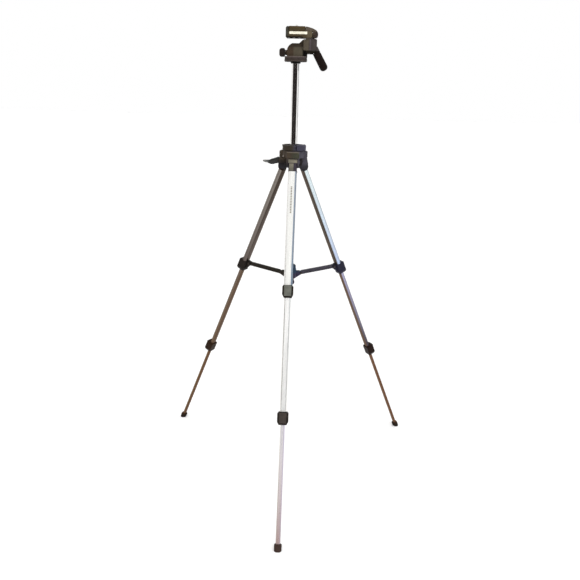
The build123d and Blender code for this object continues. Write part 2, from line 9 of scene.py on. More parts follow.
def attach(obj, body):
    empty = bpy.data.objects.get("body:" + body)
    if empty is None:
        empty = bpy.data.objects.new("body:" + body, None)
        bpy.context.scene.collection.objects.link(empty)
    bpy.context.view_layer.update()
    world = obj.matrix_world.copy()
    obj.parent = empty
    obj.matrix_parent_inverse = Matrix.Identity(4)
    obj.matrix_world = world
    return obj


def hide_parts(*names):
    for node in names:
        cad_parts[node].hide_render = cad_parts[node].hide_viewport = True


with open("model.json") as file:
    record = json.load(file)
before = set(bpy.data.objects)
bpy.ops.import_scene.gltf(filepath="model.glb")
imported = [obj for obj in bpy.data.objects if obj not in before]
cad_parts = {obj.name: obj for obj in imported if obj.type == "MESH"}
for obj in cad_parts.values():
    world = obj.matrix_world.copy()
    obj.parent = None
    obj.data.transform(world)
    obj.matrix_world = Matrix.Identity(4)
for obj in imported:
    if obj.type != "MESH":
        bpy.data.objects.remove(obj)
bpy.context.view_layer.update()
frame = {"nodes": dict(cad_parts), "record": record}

nodes = frame["nodes"]
scene = bpy.context.scene

# The pieces are given in millimetres and degrees, the stage and the frame in metres.
MM = 0.001

# Column axis, leg hinges, and the legs' directions round the column
AXIS_Y = 104.125
PIVOT_R, PIVOT_Z = 23.0, 894.4
LEAN = 23.76
LEGS = {"front_leg": 0, "left_leg": -120, "right_leg": 120}

# Plate and its pad
PAD_TOP = 1222.0
PAD_SPAN, PLATE_SPAN = (1218.6, PAD_TOP - 0.05), (1211.6, 1218.2)
CORNER_X, CORNER_Y, CORNER_SIDE = 20.4, 18.9, 3.7
RIB_COUNT, RIB_START, RIB_PITCH = 11, -15.2, 3.4
RIB_SIZE, HALF_RIB_SIZE, HALF_RIB_Y = (1.7, 38.4, 1.1), (1.7, 13.4, 1.1), 12.5
RIB_SPLIT_X = 4.0

# Camera screw
SCREW_HEAD_R, SCREW_HEAD_SPAN = 8.0, (1205.4, 1210.6)
SCREW_CORE_R, SCREW_CREST_R = 2.6, 3.175
THREAD_FROM, THREAD_PITCH, THREAD_TURNS = PAD_TOP + 0.2, 1.27, 3
THREAD_FORM = ((SCREW_CORE_R, 0.1), (SCREW_CREST_R, 0.5), (SCREW_CREST_R, 0.75), (SCREW_CORE_R, 1.15))
SCREW_TIP, SCREW_TIP_IN, SCREW_TIP_DOWN = 1227.0, 0.4, 0.6

# Platform, tilt block and pan
STRIP_PLACE, STRIP_SIZE = (5.3, -22.05, 1206.8), (43.6, 0.5, 6.0)
CHEEK_X, CHEEK_Y, CHEEK_Z = 37.6, 20.6, 1204.0
CHEEK_SIZE, CHEEK_SLOPE = (4.0, 2.4, 12.6), 0.08
RIDGE_PLACE, RIDGE_SIZE = (35.4, -20.1, 1179.8), (3.6, 1.0, 25.0)
FLANGE_R, FLANGE_Z = 28.3, 1152.0
FLANGE_EDGE_WIDE, FLANGE_EDGE_HIGH, FLANGE_EDGE_BREAK = 1.1, 1.0, 0.4

# Spider and the column's lock lever
PANEL_PLACE, PANEL_SIZE = (0, -33.1, 911.6), (32.0, 1.0, 14.0)
PANEL_EDGE_PLACE, PANEL_EDGE_SIZE = (0, -33.2, 919.6), (32.0, 1.2, 1.8)
WEB_PLACE, WEB_SIZE, WEB_TURN = (0, -19.5, 894.0), (11.0, 11.0, 20.0), 60
CAP_SCREW_PLACE, CAP_SCREW_AZ = (0, -27.7, 907.6), -66
HINGE_PIN_X = 16.8
LOCK_AZ, LOCK_R, LOCK_Z = -65.0, 38.0, 898.0
LOCK_RIDGE_COUNT, LOCK_RIDGE_START, LOCK_RIDGE_PITCH = 5, 30.5, 2.8
LOCK_RIDGE_SIZE, LOCK_RIDGE_UP = (13.0, 1.3, 0.9), 0.9

# Legs, with heights from the hinge pin
REACH = {"upper": (-20, -340), "middle": (-340, -660), "lower": (-660, -970)}
UPPER_CLAMP_Z = -338.8
LOWER_CLAMP_Z = {"front_leg": -656.8, "left_leg": -656.8, "right_leg": -645.8}
BRACKET_Y, BRACKET_Z = 16.0, -324.8
HINGE_BAR_R, HINGE_BAR_SIZE, HINGE_BAR_HALF = 9.85, (23.0, 0.9, 1), 28
HINGE_STEM_PLACE, HINGE_STEM_SIZE = (-3.4, -7.9, -15.6), (11.4, 1.2, 19.2)
TICK_COUNT, TICK_START, TICK_PITCH = 17, -68, 4.2
TICK_X, TICK_Y, TICK_SIZE = -0.8, -7.25, (3.8, 0.24, 2.5)
FOOT_BAND_SIZE, FOOT_BAND_UP = (19.8, 16.8, 2.4), 10.6
FOOT_BAND_CORNER, FOOT_BAND_RIM = 7.4, 0.7

# Clamp levers, with heights from the clamp's middle
LEVER_Y, LEVER_SLOPE_BELOW, LEVER_SLOPE_ABOVE = -15.3, 1.3 / 9.8, 0.3 / 7.6
LEVER_FACE_Z, LEVER_FACE_SIZE = -0.6, (14.6, 1.2, 15.4)
LEVER_RIB_COUNT, LEVER_RIB_SIZE = 3, (14.6, 0.9, 0.8)
LEVER_RIB_PLACE, LEVER_RIB_STEP = Vector((0, -15.9, 9.0)), Vector((0, -0.3, 1.6))

# Brace hub, and the brace pins' ends on both sides of an arm
HUB_R, HUB_Z = 30.0, 584.77
BRACE_PIN_X = 6.6

# Radius, height and rounded edge of the round heads
CAP_SCREW_HEAD = (3.1, 1.6, 0.8)
HINGE_PIN_HEAD = (4.2, 1.6, 0.8)
BRACE_PIN_HEAD = (3.3, 1.8, 0.9)


def on_axis(angle=0.0):
    """Pieces made round the column, turned by an angle."""
    return Matrix.Translation((0, AXIS_Y, 0)) @ Matrix.Rotation(radians(angle), 4, "Z")


def on_leg(angle):
    """Pieces made on a leg that hangs straight down from its pivot, outer face to -Y."""
    hang = Matrix.Translation((0, -PIVOT_R, PIVOT_Z)) @ Matrix.Rotation(radians(-LEAN), 4, "X")
    return on_axis(angle) @ hang


# Finishes


def linear(rgb):
    """A colour given as on screen, 0 to 255."""
    out = []
    for c in rgb:
        c = c / 255
        out.append(c / 12.92 if c <= 0.04045 else ((c + 0.055) / 1.055) ** 2.4)
    return (*out, 1.0)


class Finish:
    """A material under construction, with short names for the nodes it needs."""

    def __init__(self, name):
        self.material = bpy.data.materials.new(name)
        self.material.use_nodes = True
        self.tree = self.material.node_tree
        self.tree.nodes.clear()
        self.shader = self.add("ShaderNodeBsdfPrincipled")
        out = self.add("ShaderNodeOutputMaterial")
        self.join(self.shader.outputs["BSDF"], out.inputs["Surface"])
        self.coords = self.add("ShaderNodeTexCoord")
        self.place = self.coords.outputs["Object"]

    def add(self, kind, **settings):
        node = self.tree.nodes.new(kind)
        for key, value in settings.items():
            setattr(node, key, value)
        return node

    def join(self, a, b):
        self.tree.links.new(a, b)

    def stretched(self, vector, scale):
        node = self.add("ShaderNodeMapping")
        node.inputs["Scale"].default_value = scale
        self.join(vector, node.inputs["Vector"])
        return node.outputs["Vector"]

    def split(self, vector):
        node = self.add("ShaderNodeSeparateXYZ")
        self.join(vector, node.inputs["Vector"])
        return node.outputs

    def noise(self, scale, detail=3.0, rough=0.5, vector=None):
        node = self.add("ShaderNodeTexNoise")
        node.inputs["Scale"].default_value = scale
        node.inputs["Detail"].default_value = detail
        node.inputs["Roughness"].default_value = rough
        self.join(vector or self.place, node.inputs["Vector"])
        return node.outputs["Fac"]

    def spread(self, value, source, target):
        """A value's source span mapped on a target span, held at its ends."""
        node = self.add("ShaderNodeMapRange")
        self.join(value, node.inputs["Value"])
        for key, number in zip(("From Min", "From Max", "To Min", "To Max"), (*source, *target)):
            node.inputs[key].default_value = number
        return node.outputs["Result"]

    def larger(self, a, b):
        node = self.add("ShaderNodeMath", operation="MAXIMUM")
        self.join(a, node.inputs[0])
        self.join(b, node.inputs[1])
        return node.outputs[0]

    def mix(self, factor, a, b):
        node = self.add("ShaderNodeMix", data_type="RGBA")
        self.join(factor, node.inputs["Factor"])
        for key, colour in ((6, a), (7, b)):
            if isinstance(colour, tuple):
                node.inputs[key].default_value = colour
            else:
                self.join(colour, node.inputs[key])
        return node.outputs[2]

    def times(self, colour, factor):
        """A colour made lighter or darker by a number that varies."""
        node = self.add("ShaderNodeVectorMath", operation="SCALE")
        if isinstance(colour, tuple):
            node.inputs[0].default_value = colour[:3]
        else:
            self.join(colour, node.inputs[0])
        self.join(factor, node.inputs["Scale"])
        return node.outputs[0]

    def dent(self, height, distance, strength):
        node = self.add("ShaderNodeBump")
        node.inputs["Strength"].default_value = strength
        node.inputs["Distance"].default_value = distance
        self.join(height, node.inputs["Height"])
        self.join(node.outputs["Normal"], self.shader.inputs["Normal"])

    def set(self, socket, value):
        if isinstance(value, (int, float, tuple)):
            self.shader.inputs[socket].default_value = value
        else:
            self.join(value, self.shader.inputs[socket])


def painted_light_tone(rgb, **spans):
    """A second colour for a moulding, which paints light and shade onto it. It is all there where every axis
    is past the first end of its span, and gone where one is at the second."""
    return linear(rgb), spans


def moulded(name, rgb, *fades, rough=0.48, gloss=0.08, worn=0.3, pebble=0.00004):
    """Moulded plastic or rubber: fine pebbled skin, cloudy colour and rubbed patches, and any second tones as
    painted light and shade.
    """
    f = Finish(name)
    place = f.split(f.place)
    skin = linear(rgb)
    # Painted light and shade: each second tone is mixed in over its span
    for other, spans in fades:
        away = None
        for axis, (full, none) in spans.items():
            gone = f.spread(place[axis], (full * MM, none * MM), (0, 1))
            away = f.larger(away, gone) if away else gone
        skin = f.mix(away, other, skin)
    clouds = f.noise(42, detail=4)
    rubbed = f.noise(150, detail=6, rough=0.65)
    gleam = f.noise(210)
    pebbles = f.noise(2600, detail=2)
    tone = f.spread(clouds, (0.3, 0.7), (0.88, 1.3))
    wear = f.spread(rubbed, (0.58, 0.74), (1, 1 + worn))
    f.set("Base Color", f.times(f.times(skin, tone), wear))
    f.set("Roughness", f.spread(gleam, (0.3, 0.7), (rough - 0.07, rough + 0.09)))
    f.set("Specular IOR Level", gloss)
    f.dent(pebbles, pebble, strength=0.6)
    return f.material


def even(*rgb):
    """The same colour at both ends of a tube."""
    return rgb, rgb


# Tube face colours: the bright outer face is a painted highlight; the other faces are silver
BRIGHT = even(244, 243, 240)
SILVER = even(206, 204, 201)


def leg_metal(name, angle, reach, rough, outer=BRIGHT, minus_side=SILVER, plus_side=SILVER, inner=SILVER,
              matt=0):
    """Drawn aluminium with lines along the leg. The outer face, the sides towards -X and +X and
    the inner face each have a colour at the upper and one at the lower end of the tube's reach;
    these colours are painted reflections, highlights and shade. matt is how far the outer face is blasted."""
    f = Finish(name)
    local, facing = (f.add("ShaderNodeMapping", vector_type="TEXTURE") for _ in range(2))
    local.inputs["Location"].default_value = on_leg(angle).translation * MM
    for node in (local, facing):
        node.inputs["Rotation"].default_value = (radians(-LEAN), 0, radians(angle))
    f.join(f.place, local.inputs["Vector"])
    f.join(f.coords.outputs["Normal"], facing.inputs["Vector"])
    along, normal = (f.split(node.outputs["Vector"]) for node in (local, facing))
    lines = f.stretched(local.outputs["Vector"], (1500, 1500, 9))
    patches = f.stretched(local.outputs["Vector"], (60, 60, 14))
    drawn = f.noise(1.0, detail=4, rough=0.6, vector=lines)
    stain = f.noise(1.0, detail=5, rough=0.6, vector=patches)
    down = f.spread(along["Z"], [end * MM for end in reach], (0, 1))
    # Painted reflections and shade: a colour for each face, chosen by its normal and changing along the tube
    outer, minus_side, plus_side, inner = (
        f.mix(down, linear(top), linear(bottom)) for top, bottom in (outer, minus_side, plus_side, inner))
    flank = f.mix(f.spread(normal["X"], (-0.1, 0.1), (0, 1)), minus_side, plus_side)
    front = f.spread(normal["Y"], (-0.992, -0.955), (1, 0))
    back = f.spread(normal["Y"], (0.4, 0.75), (0, 1))
    metal = f.mix(back, f.mix(front, flank, outer), inner)
    tone = f.spread(drawn, (0.3, 0.7), (0.92, 1.0))
    dull = f.spread(stain, (0.52, 0.75), (1.0, 0.9))
    f.set("Base Color", f.times(f.times(metal, tone), dull))
    f.set("Specular Tint", (0.62, 0.58, 0.55, 1))
    f.set("Metallic", f.spread(front, (0, 1), (1, 1 - matt)) if matt else 1.0)
    f.set("Roughness", f.spread(drawn, (0.25, 0.75), (rough - 0.05, rough + 0.07)))
    f.dent(drawn, 0.000012, strength=0.5)
    return f.material


def polished(name, rgb, rough):
    """Chrome or plated steel with a fine turned grain and a few dull spots."""
    f = Finish(name)
    rings = f.noise(1.0, vector=f.stretched(f.place, (4, 4, 900)))
    spots = f.noise(90, detail=5, rough=0.6)
    f.set("Base Color", f.times(linear(rgb), f.spread(spots, (0.5, 0.75), (1, 0.82))))
    f.set("Metallic", 1.0)
    f.set("Roughness", f.spread(rings, (0.3, 0.7), (max(rough - 0.03, 0.02), rough + 0.04)))
    return f.material


FOOT_SKIN = {"rough": 0.62, "gloss": 0.06, "worn": 0.5, "pebble": 0.00008}
PAD_SKIN = {"rough": 0.7, "gloss": 0.06, "worn": 0.4, "pebble": 0.0001}

# Finishes by material slot
finishes = {
    "clamp_plastic": moulded("clamp_plastic", (30, 25, 22)),
    "lever_plastic": moulded("lever_plastic", (60, 54, 50)),
    # spider: painted warm light on the left, painted shade low on the right and along the bottom
    "spider_plastic": moulded("spider_plastic", (64, 61, 68), painted_light_tone((60, 52, 44), X=(-22, 20)),
                              painted_light_tone((34, 30, 32), Z=(888, 904), X=(2, 12)),
                              painted_light_tone((40, 38, 42), Z=(880, 892))),
    "foot_rubber": moulded("foot_rubber", (54, 42, 38), **FOOT_SKIN),
    # brace arms: painted warm light towards the left
    "brace_paint": moulded("brace_paint", (58, 55, 62), painted_light_tone((36, 33, 28), X=(-20, 30))),
    # brace hub: painted light and shade, a purple tone low down and a warm tone on the left
    "brace_plastic": moulded("brace_plastic", (34, 48, 64), painted_light_tone((46, 41, 58), Z=(586, 591)),
                             painted_light_tone((38, 34, 29), X=(-14, -2))),
    "bush_plastic": moulded("bush_plastic", (58, 56, 54)),
    "cap_plastic": moulded("cap_plastic", (30, 29, 29)),
    # head: painted shade on the housing's left, under the tilt block, at the top and below the flange
    "head_plastic": moulded("head_plastic", (70, 64, 53), painted_light_tone((56, 45, 35), X=(-8, -3)),
                            painted_light_tone((18, 14, 12), X=(19, 15), Z=(1166, 1169)),
                            painted_light_tone((44, 37, 29), Z=(1176.5, 1172.5)),
                            painted_light_tone((62, 54, 52), Z=(1152.3, 1153.2))),
    "knob_plastic": moulded("knob_plastic", (38, 31, 28), gloss=0.05),
    "grip_plastic": moulded("grip_plastic", (26, 19, 17), gloss=0.04),
    # platform: painted light, greyer at the left end and lighter at the right, and painted shade under its
    # right end
    "platform_plastic": moulded("platform_plastic", (68, 58, 40), painted_light_tone((54, 53, 47), X=(-22, -15)),
                                painted_light_tone((82, 73, 57), X=(30, 22)),
                                painted_light_tone((30, 24, 18), Z=(1198.4, 1200.4), X=(12, 22))),
    "pad_rubber": moulded("pad_rubber", (76, 63, 40), **PAD_SKIN),
    "pin_steel": polished("pin_steel", (62, 56, 52), 0.3),
    "screw_steel": polished("screw_steel", (190, 186, 180), 0.22),
    "column_chrome": polished("column_chrome", (240, 238, 236), 0.05),
}

# Finishes of single pieces of the head, the column and the spider
bright_steel = polished("camera_screw_steel", (244, 243, 240), 0.12)
screw_cap = polished("spider_screw_steel", (150, 140, 130), 0.4)
strip_paint = moulded("blank_strip_paint", (228, 223, 205))
tick_paint = moulded("scale_tick_paint", (110, 104, 90))
# hinge panels: the light tone is a painted highlight, darker towards the bottom as painted shade
panel_plastic = moulded("hinge_panel_plastic", (112, 107, 94), painted_light_tone((92, 89, 79), Z=(880, 888)))
# spider front panels: painted warm light on the left
front_panel_plastic = moulded("spider_panel_plastic", (53, 53, 43), painted_light_tone((60, 51, 42), X=(-8, 4)))
# a lighter strip along the spider panels' top edge, as a painted highlight
panel_edge_highlight_plastic = moulded("spider_panel_edge_plastic", (98, 90, 78))
web_plastic = moulded("spider_web_plastic", (24, 20, 20))
# column collar: painted warm light on the left
collar_plastic = moulded("column_collar_plastic", (60, 58, 70), painted_light_tone((50, 44, 37), X=(-4, 8)))
# pan flange ring: a painted highlight along the upper edge
flange_highlight_plastic = moulded("pan_flange_edge_plastic", (104, 94, 89))
# tilt block stripe: a painted highlight at the break of the face
ridge_highlight_plastic = moulded("tilt_block_ridge_plastic", (76, 68, 70))
# release lever: painted highlight, lighter at its end and on top
nose_plastic = moulded("plate_lever_plastic", (46, 38, 37), painted_light_tone((62, 52, 40), X=(38, 52)),
                       painted_light_tone((80, 72, 62), Z=(1213, 1208)))
# tilt block: painted light, lighter on its left part, and painted shade along its bottom
block_plastic = moulded("tilt_block_plastic", (62, 56, 54), painted_light_tone((76, 69, 58), X=(30, 36)),
                        painted_light_tone((22, 17, 11), Z=(1165.5, 1168)))
# pan base: painted shade, near black below
base_plastic = moulded("pan_base_plastic", (60, 52, 48), painted_light_tone((12, 10, 9), Z=(1140, 1142)))
# column lock lever: painted highlight towards the blade's end
lock_plastic = moulded("lock_lever_plastic", (46, 45, 44), painted_light_tone((122, 122, 119), X=(-74, -60)))

# Finishes that differ from leg to leg: lit and shaded copies of one plastic, which paint light and shade
lit_and_shaded_hinges = {
    "front_leg": moulded("front_hinge_plastic", (54, 49, 56)),
    "left_leg": moulded("left_hinge_plastic", (30, 19, 13)),
    "right_leg": moulded("right_hinge_plastic", (36, 35, 39)),
}
lit_and_shaded_levers = {
    "front_leg_upper": moulded("front_upper_lever_plastic", (97, 98, 91)),
    "left_leg_upper": moulded("left_upper_lever_plastic", (40, 34, 31)),
    "right_leg_upper": moulded("right_upper_lever_plastic", (44, 44, 62)),
    "left_leg_lower": moulded("left_lower_lever_plastic", (38, 25, 13)),
    "right_leg_lower": moulded("right_lower_lever_plastic", (30, 18, 13)),
}
lit_and_shaded_clamps = {
    "right_leg_upper": moulded("right_upper_clamp_plastic", (32, 31, 44)),
    "left_leg_lower": moulded("left_lower_clamp_plastic", (35, 21, 10)),
    "right_leg_lower": moulded("right_lower_clamp_plastic", (27, 15, 11)),
}
# rear feet: a darker, shaded copy of the foot rubber, with a painted highlight at the top
painted_light_rear_rubber = moulded("rear_foot_rubber", (30, 22, 17), painted_light_tone((62, 46, 36), Z=(17, 9)), **FOOT_SKIN)
foot_rubbers = {"left_leg": painted_light_rear_rubber, "right_leg": painted_light_rear_rubber}

# Tubes: the roughness of each section, and what differs from bright outer and silver other faces. These
# colours are painted reflections and shade, which differ from leg to leg and change along each tube
TUBE_ROUGH = {"upper": 0.26, "middle": 0.26, "lower": 0.28}
TUBES = {
    "front_leg_upper": {"outer": even(228, 228, 225), "minus_side": BRIGHT,
                        "plus_side": ((158, 168, 181), (136, 152, 170)), "matt": 0.7},
    # rear legs: painted reflections, brown on the left leg and blue-white on the right, with painted shade on
    # the inner faces
    "left_leg_upper": {"plus_side": ((140, 133, 126), (98, 88, 84)), "inner": ((70, 62, 56), (100, 91, 86))},
    "right_leg_upper": {"minus_side": ((234, 247, 249), (168, 180, 208)), "inner": even(84, 75, 68)},
    "front_leg_middle": {"outer": even(232, 232, 231), "minus_side": BRIGHT,
                         "plus_side": ((236, 240, 240), (244, 243, 240)), "matt": 0.7},
    "left_leg_middle": {"plus_side": ((108, 94, 84), (108, 88, 72)), "inner": even(100, 82, 68)},
    "right_leg_middle": {"minus_side": ((158, 156, 180), (56, 44, 40)), "inner": even(104, 84, 70)},
    # front lower tube: painted shade, darker towards the foot
    "front_leg_lower": {"outer": ((246, 243, 248), (164, 140, 138)),
                        "minus_side": ((244, 243, 240), (170, 150, 144)),
                        "plus_side": ((214, 208, 226), (176, 160, 168)), "matt": 0.4},
    "left_leg_lower": {"plus_side": even(110, 86, 66), "inner": even(102, 76, 56)},
    "right_leg_lower": {"minus_side": even(108, 78, 61), "inner": even(116, 86, 66)},
}


def tube_metal(place):
    leg, section = place.rsplit("_", 1)
    return leg_metal(f"{place}_aluminium", LEGS[leg], REACH[section], TUBE_ROUGH[section], **TUBES[place])


# Finishes by node, where they aren't the slot's
special = {"tilt_block": block_plastic, "tilt_pin": block_plastic, "pan_base": base_plastic,
           "column_lever": lock_plastic, "plate_lever": nose_plastic, "column_collar": collar_plastic}
special |= {f"{leg}_hinge_block": finish for leg, finish in lit_and_shaded_hinges.items()}
special |= {f"{leg}_foot": finish for leg, finish in foot_rubbers.items()}
special |= {f"{place}_lever": finish for place, finish in lit_and_shaded_levers.items()}
special |= {f"{place}_clamp": finish for place, finish in lit_and_shaded_clamps.items()}
special |= {f"{place}_tube": tube_metal(place) for place in TUBES}
for entry in frame["record"]["subparts"]:
    mesh = nodes[entry["node"]].data
    mesh.materials.clear()
    mesh.materials.append(special.get(entry["node"]) or finishes[entry["material_slot"]])


# Ways to make a piece


def add_piece(name, bm, body, slot, finish=None):
    """Puts a piece that was made in millimetres in the scene, on its body."""
    bmesh.ops.scale(bm, vec=(MM, MM, MM), verts=bm.verts)
    bmesh.ops.recalc_face_normals(bm, faces=bm.faces)
    mesh = bpy.data.meshes.new(name)
    bm.to_mesh(mesh)
    bm.free()
    mesh.materials.append(finish or finishes[slot])
    obj = bpy.data.objects.new(name, mesh)
    scene.collection.objects.link(obj)
    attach(obj, body)
    return obj


def block(bm, centre, size, bevel=0.0, place=Matrix()):
    """A box with broken edges."""
    verts = bmesh.ops.create_cube(bm, size=1.0)["verts"]
    bmesh.ops.scale(bm, vec=size, verts=verts)
    if bevel:
        edges = list({e for v in verts for e in v.link_edges})
        made = bmesh.ops.bevel(bm, geom=edges, offset=bevel, segments=2, profile=0.5, affect="EDGES",
                               material=-1)
        verts = made["verts"]
    bmesh.ops.transform(bm, matrix=place @ Matrix.Translation(centre), verts=verts)
    return verts


def stud(bm, start, along, head, place):
    """A round head that stands on start and points along a direction."""
    radius, height, dome = head
    spot = Matrix.Translation(start) @ Vector(along).to_track_quat("Z", "Y").to_matrix().to_4x4()
    made = bmesh.ops.create_cone(bm, cap_ends=True, segments=28, radius1=radius, radius2=radius, depth=height)
    verts = made["verts"]
    bmesh.ops.translate(bm, vec=(0, 0, height / 2), verts=verts)
    rim = list({e for v in verts for e in v.link_edges if all(w.co.z > height * 0.9 for w in e.verts)})
    made = bmesh.ops.bevel(bm, geom=rim, offset=dome, segments=3, profile=0.5, affect="EDGES", material=-1)
    verts = list({v for v in verts if v.is_valid} | set(made["verts"]))
    bmesh.ops.transform(bm, matrix=place @ spot, verts=verts)


def pin_ends(bm, x, y, z, head, place):
    """The two heads of a pin that lies along X."""
    for side in (-1, 1):
        stud(bm, (side * x, y, z), (side, 0, 0), head, place)


def turned(bm, profile, place, steps=48):
    """A solid of revolution about Z from (radius, height) points, closed on the axis or,
    for a ring, from the last point back to the first."""
    verts = [bm.verts.new((r, 0, z)) for r, z in profile]
    pairs = list(zip(verts, verts[1:]))
    if profile[0][0] > 0:
        pairs.append((verts[-1], verts[0]))
    edges = [bm.edges.new(pair) for pair in pairs]
    bmesh.ops.spin(bm, geom=verts + edges, axis=(0, 0, 1), cent=(0, 0, 0), dvec=(0, 0, 0), angle=2 * pi,
                   steps=steps, use_merge=True)
    bmesh.ops.remove_doubles(bm, verts=bm.verts, dist=0.0005)
    bmesh.ops.transform(bm, matrix=place, verts=bm.verts)


# Head


def platform_strip():
    bm = bmesh.new()
    block(bm, STRIP_PLACE, STRIP_SIZE, bevel=0.2, place=on_axis())
    add_piece("platform_pale_strip", bm, "tilt", "platform_plastic", strip_paint)


def pad_ribs():
    """Ribs across the pad; those beside the camera screw leave room for it."""
    bm = bmesh.new()
    for i in range(RIB_COUNT):
        x = RIB_START + RIB_PITCH * i
        if abs(x) < RIB_SPLIT_X:
            for side in (-1, 1):
                block(bm, (x, side * HALF_RIB_Y, PAD_TOP), HALF_RIB_SIZE, bevel=0.4, place=on_axis())
        else:
            block(bm, (x, 0, PAD_TOP), RIB_SIZE, bevel=0.4, place=on_axis())
    add_piece("plate_pad_ribs", bm, "plate", "pad_rubber")


def platform_end_cheeks():
    """Cheeks that lean with the release lever's rounded end."""
    bm = bmesh.new()
    for side in (-1, 1):
        cheek = block(bm, (CHEEK_X, side * CHEEK_Y, CHEEK_Z), CHEEK_SIZE, bevel=0.3)
        for v in cheek:
            v.co.x += CHEEK_SLOPE * (v.co.z - CHEEK_Z)
    bmesh.ops.transform(bm, matrix=on_axis(), verts=bm.verts)
    add_piece("platform_end_cheeks", bm, "tilt", "platform_plastic")


def plate_corners():
    """Square corners at the lever's end of the plate and of its pad."""
    for name, (low, high), slot in (("plate_corners", PLATE_SPAN, "platform_plastic"),
                                    ("plate_pad_corners", PAD_SPAN, "pad_rubber")):
        size = (CORNER_SIDE, CORNER_SIDE, high - low)
        bm = bmesh.new()
        for side in (-1, 1):
            block(bm, (CORNER_X, side * CORNER_Y, (low + high) / 2), size, bevel=0.3, place=on_axis())
        add_piece(name, bm, "plate", slot)


def camera_screw():
    """Screw with a cut thread above the pad and a broken edge at its tip."""
    head_low, head_high = SCREW_HEAD_SPAN
    profile = [(0, head_low), (SCREW_HEAD_R, head_low), (SCREW_HEAD_R, head_high),
               (SCREW_CORE_R, head_high), (SCREW_CORE_R, THREAD_FROM)]
    for i in range(THREAD_TURNS):
        low = THREAD_FROM + i * THREAD_PITCH
        profile += [(radius, low + up) for radius, up in THREAD_FORM]
    profile += [(SCREW_CORE_R, SCREW_TIP - SCREW_TIP_DOWN), (SCREW_CORE_R - SCREW_TIP_IN, SCREW_TIP),
                (0, SCREW_TIP)]
    bm = bmesh.new()
    turned(bm, profile, on_axis())
    screw = add_piece("camera_screw_thread", bm, "camera_screw", "screw_steel", bright_steel)
    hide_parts("camera_screw")


def pan_flange_edge():
    """Ring along the flange's upper edge, lighter than the head as a painted highlight."""
    inner, top = FLANGE_R - FLANGE_EDGE_WIDE, FLANGE_Z + FLANGE_EDGE_HIGH
    profile = [(inner, FLANGE_Z), (FLANGE_R, FLANGE_Z), (FLANGE_R, top - FLANGE_EDGE_BREAK),
               (FLANGE_R - FLANGE_EDGE_BREAK, top), (inner, top)]
    bm = bmesh.new()
    turned(bm, profile, on_axis())
    add_piece("pan_flange_edge", bm, "pan", "head_plastic", flange_highlight_plastic)


def tilt_block_ridge():
    # A lighter stripe at the break of the block's face, as a painted highlight
    bm = bmesh.new()
    block(bm, RIDGE_PLACE, RIDGE_SIZE, bevel=0.45, place=on_axis())
    add_piece("tilt_block_ridge", bm, "tilt", "head_plastic", ridge_highlight_plastic)


# Spider and lock lever


def spider_blocks(name, centre, size, bevel, finish, turn=0):
    """One block at each leg, or turned away from it."""
    bm = bmesh.new()
    for angle in LEGS.values():
        block(bm, centre, size, bevel, on_axis(angle + turn))
    add_piece(name, bm, "spider", "spider_plastic", finish)


def spider_pieces():
    spider_blocks("spider_front_panels", PANEL_PLACE, PANEL_SIZE, 0.45, front_panel_plastic)
    # painted highlight along the panels' top edge
    spider_blocks("spider_panel_edges", PANEL_EDGE_PLACE, PANEL_EDGE_SIZE, 0.4, panel_edge_highlight_plastic)
    spider_blocks("spider_webs", WEB_PLACE, WEB_SIZE, 0.6, web_plastic, WEB_TURN)

    bm = bmesh.new()
    stud(bm, CAP_SCREW_PLACE, (0, -1, 0), CAP_SCREW_HEAD, on_axis(CAP_SCREW_AZ))
    add_piece("spider_screw_head", bm, "spider", "screw_steel", screw_cap)

    bm = bmesh.new()
    for angle in LEGS.values():
        pin_ends(bm, HINGE_PIN_X, -PIVOT_R, PIVOT_Z, HINGE_PIN_HEAD, on_axis(angle))
    add_piece("leg_hinge_pin_heads", bm, "spider", "pin_steel", finishes["spider_plastic"])


def column_lever_ridges():
    """Ridges for the thumb on the lever's blade."""
    bm = bmesh.new()
    for i in range(LOCK_RIDGE_COUNT):
        out = LOCK_R + LOCK_RIDGE_START + LOCK_RIDGE_PITCH * i
        block(bm, (0, -out, LOCK_Z + LOCK_RIDGE_UP), LOCK_RIDGE_SIZE, bevel=0.3, place=on_axis(LOCK_AZ))
    add_piece("column_lever_ridges", bm, "column_lever", "spider_plastic", lock_plastic)


# Legs and brace


def lever_y(z):
    """Y of a clamp lever's front face, which is bent at the clamp's middle."""
    return LEVER_Y - z * (LEVER_SLOPE_BELOW if z < 0 else LEVER_SLOPE_ABOVE)


def lever_face(leg, which, centre, hang):
    """Raised face of a clamp lever, with ribs for the thumb above it."""
    bm = bmesh.new()
    block(bm, (0, 0, LEVER_FACE_Z), LEVER_FACE_SIZE, bevel=0.35)
    whole = bm.verts[:] + bm.edges[:] + bm.faces[:]
    bmesh.ops.bisect_plane(bm, geom=whole, plane_co=(0, 0, 0), plane_no=(0, 0, 1))
    for v in bm.verts:
        v.co.y += lever_y(v.co.z)
    for i in range(LEVER_RIB_COUNT):
        block(bm, LEVER_RIB_PLACE + LEVER_RIB_STEP * i, LEVER_RIB_SIZE, bevel=0.25)
    bmesh.ops.transform(bm, matrix=hang @ Matrix.Translation((0, 0, centre)), verts=bm.verts)
    add_piece(f"{leg}_{which}_lever_face", bm, f"{leg}_{which}_lever", "lever_plastic",
              lit_and_shaded_levers.get(f"{leg}_{which}"))


